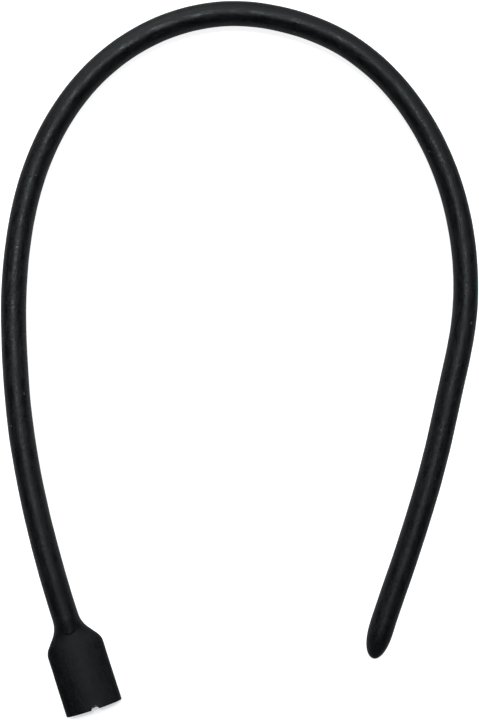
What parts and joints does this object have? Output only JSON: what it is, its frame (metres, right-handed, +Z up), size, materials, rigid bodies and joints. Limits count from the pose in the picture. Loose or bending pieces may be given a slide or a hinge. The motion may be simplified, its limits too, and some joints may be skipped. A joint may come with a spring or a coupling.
{
  "type": "string vibration dampener",
  "caption": "Woven string vibration dampener: a round gel-filled rubber tube in an open loop, with a tapered tip at one end and a flat flared paddle head at the other.",
  "frame": {"origin": "centre of the loop's plan box, on the ground that the dampener lies on", "axes": "+Z up from the ground, +Y from the loop's two free ends towards its crown, +X towards the side of the loop that ends in the tapered tip"},
  "size_m": [0.0891, 0.1338, 0.0046],
  "materials": {
    "tube_rubber": "matt black moulded rubber with a fine grain and a soft broad sheen",
    "head_rubber": "matt black moulded rubber, flat faces with faint mould mottling",
    "damping_gel": "soft smooth damping gel, not seen from outside"
  },
  "bodies": {
    "tube_head_half": {"tube_head_half": "tube_rubber", "gel_core_head_half": "damping_gel"},
    "tube_tip_half": {"tube_tip_half": "tube_rubber", "gel_core_tip_half": "damping_gel"},
    "head": {"head": "head_rubber"}
  },
  "joints": [
    {"name": "loop_flex", "type": "hinge", "parent": "tube_head_half", "child": "tube_tip_half", "pos_m": [-0.0005, 0.0646, 0.0023], "axis": [0, 0, 1], "range_deg": [-15, 30], "stiffness_Nm_per_rad": 0.0011},
    {"name": "neck_flex", "type": "hinge", "parent": "tube_head_half", "child": "head", "pos_m": [-0.03384, -0.04415, 0.0023], "axis": [-0.9532, -0.3024, 0], "range_deg": [0, 40], "stiffness_Nm_per_rad": 0.0047}
  ]
}
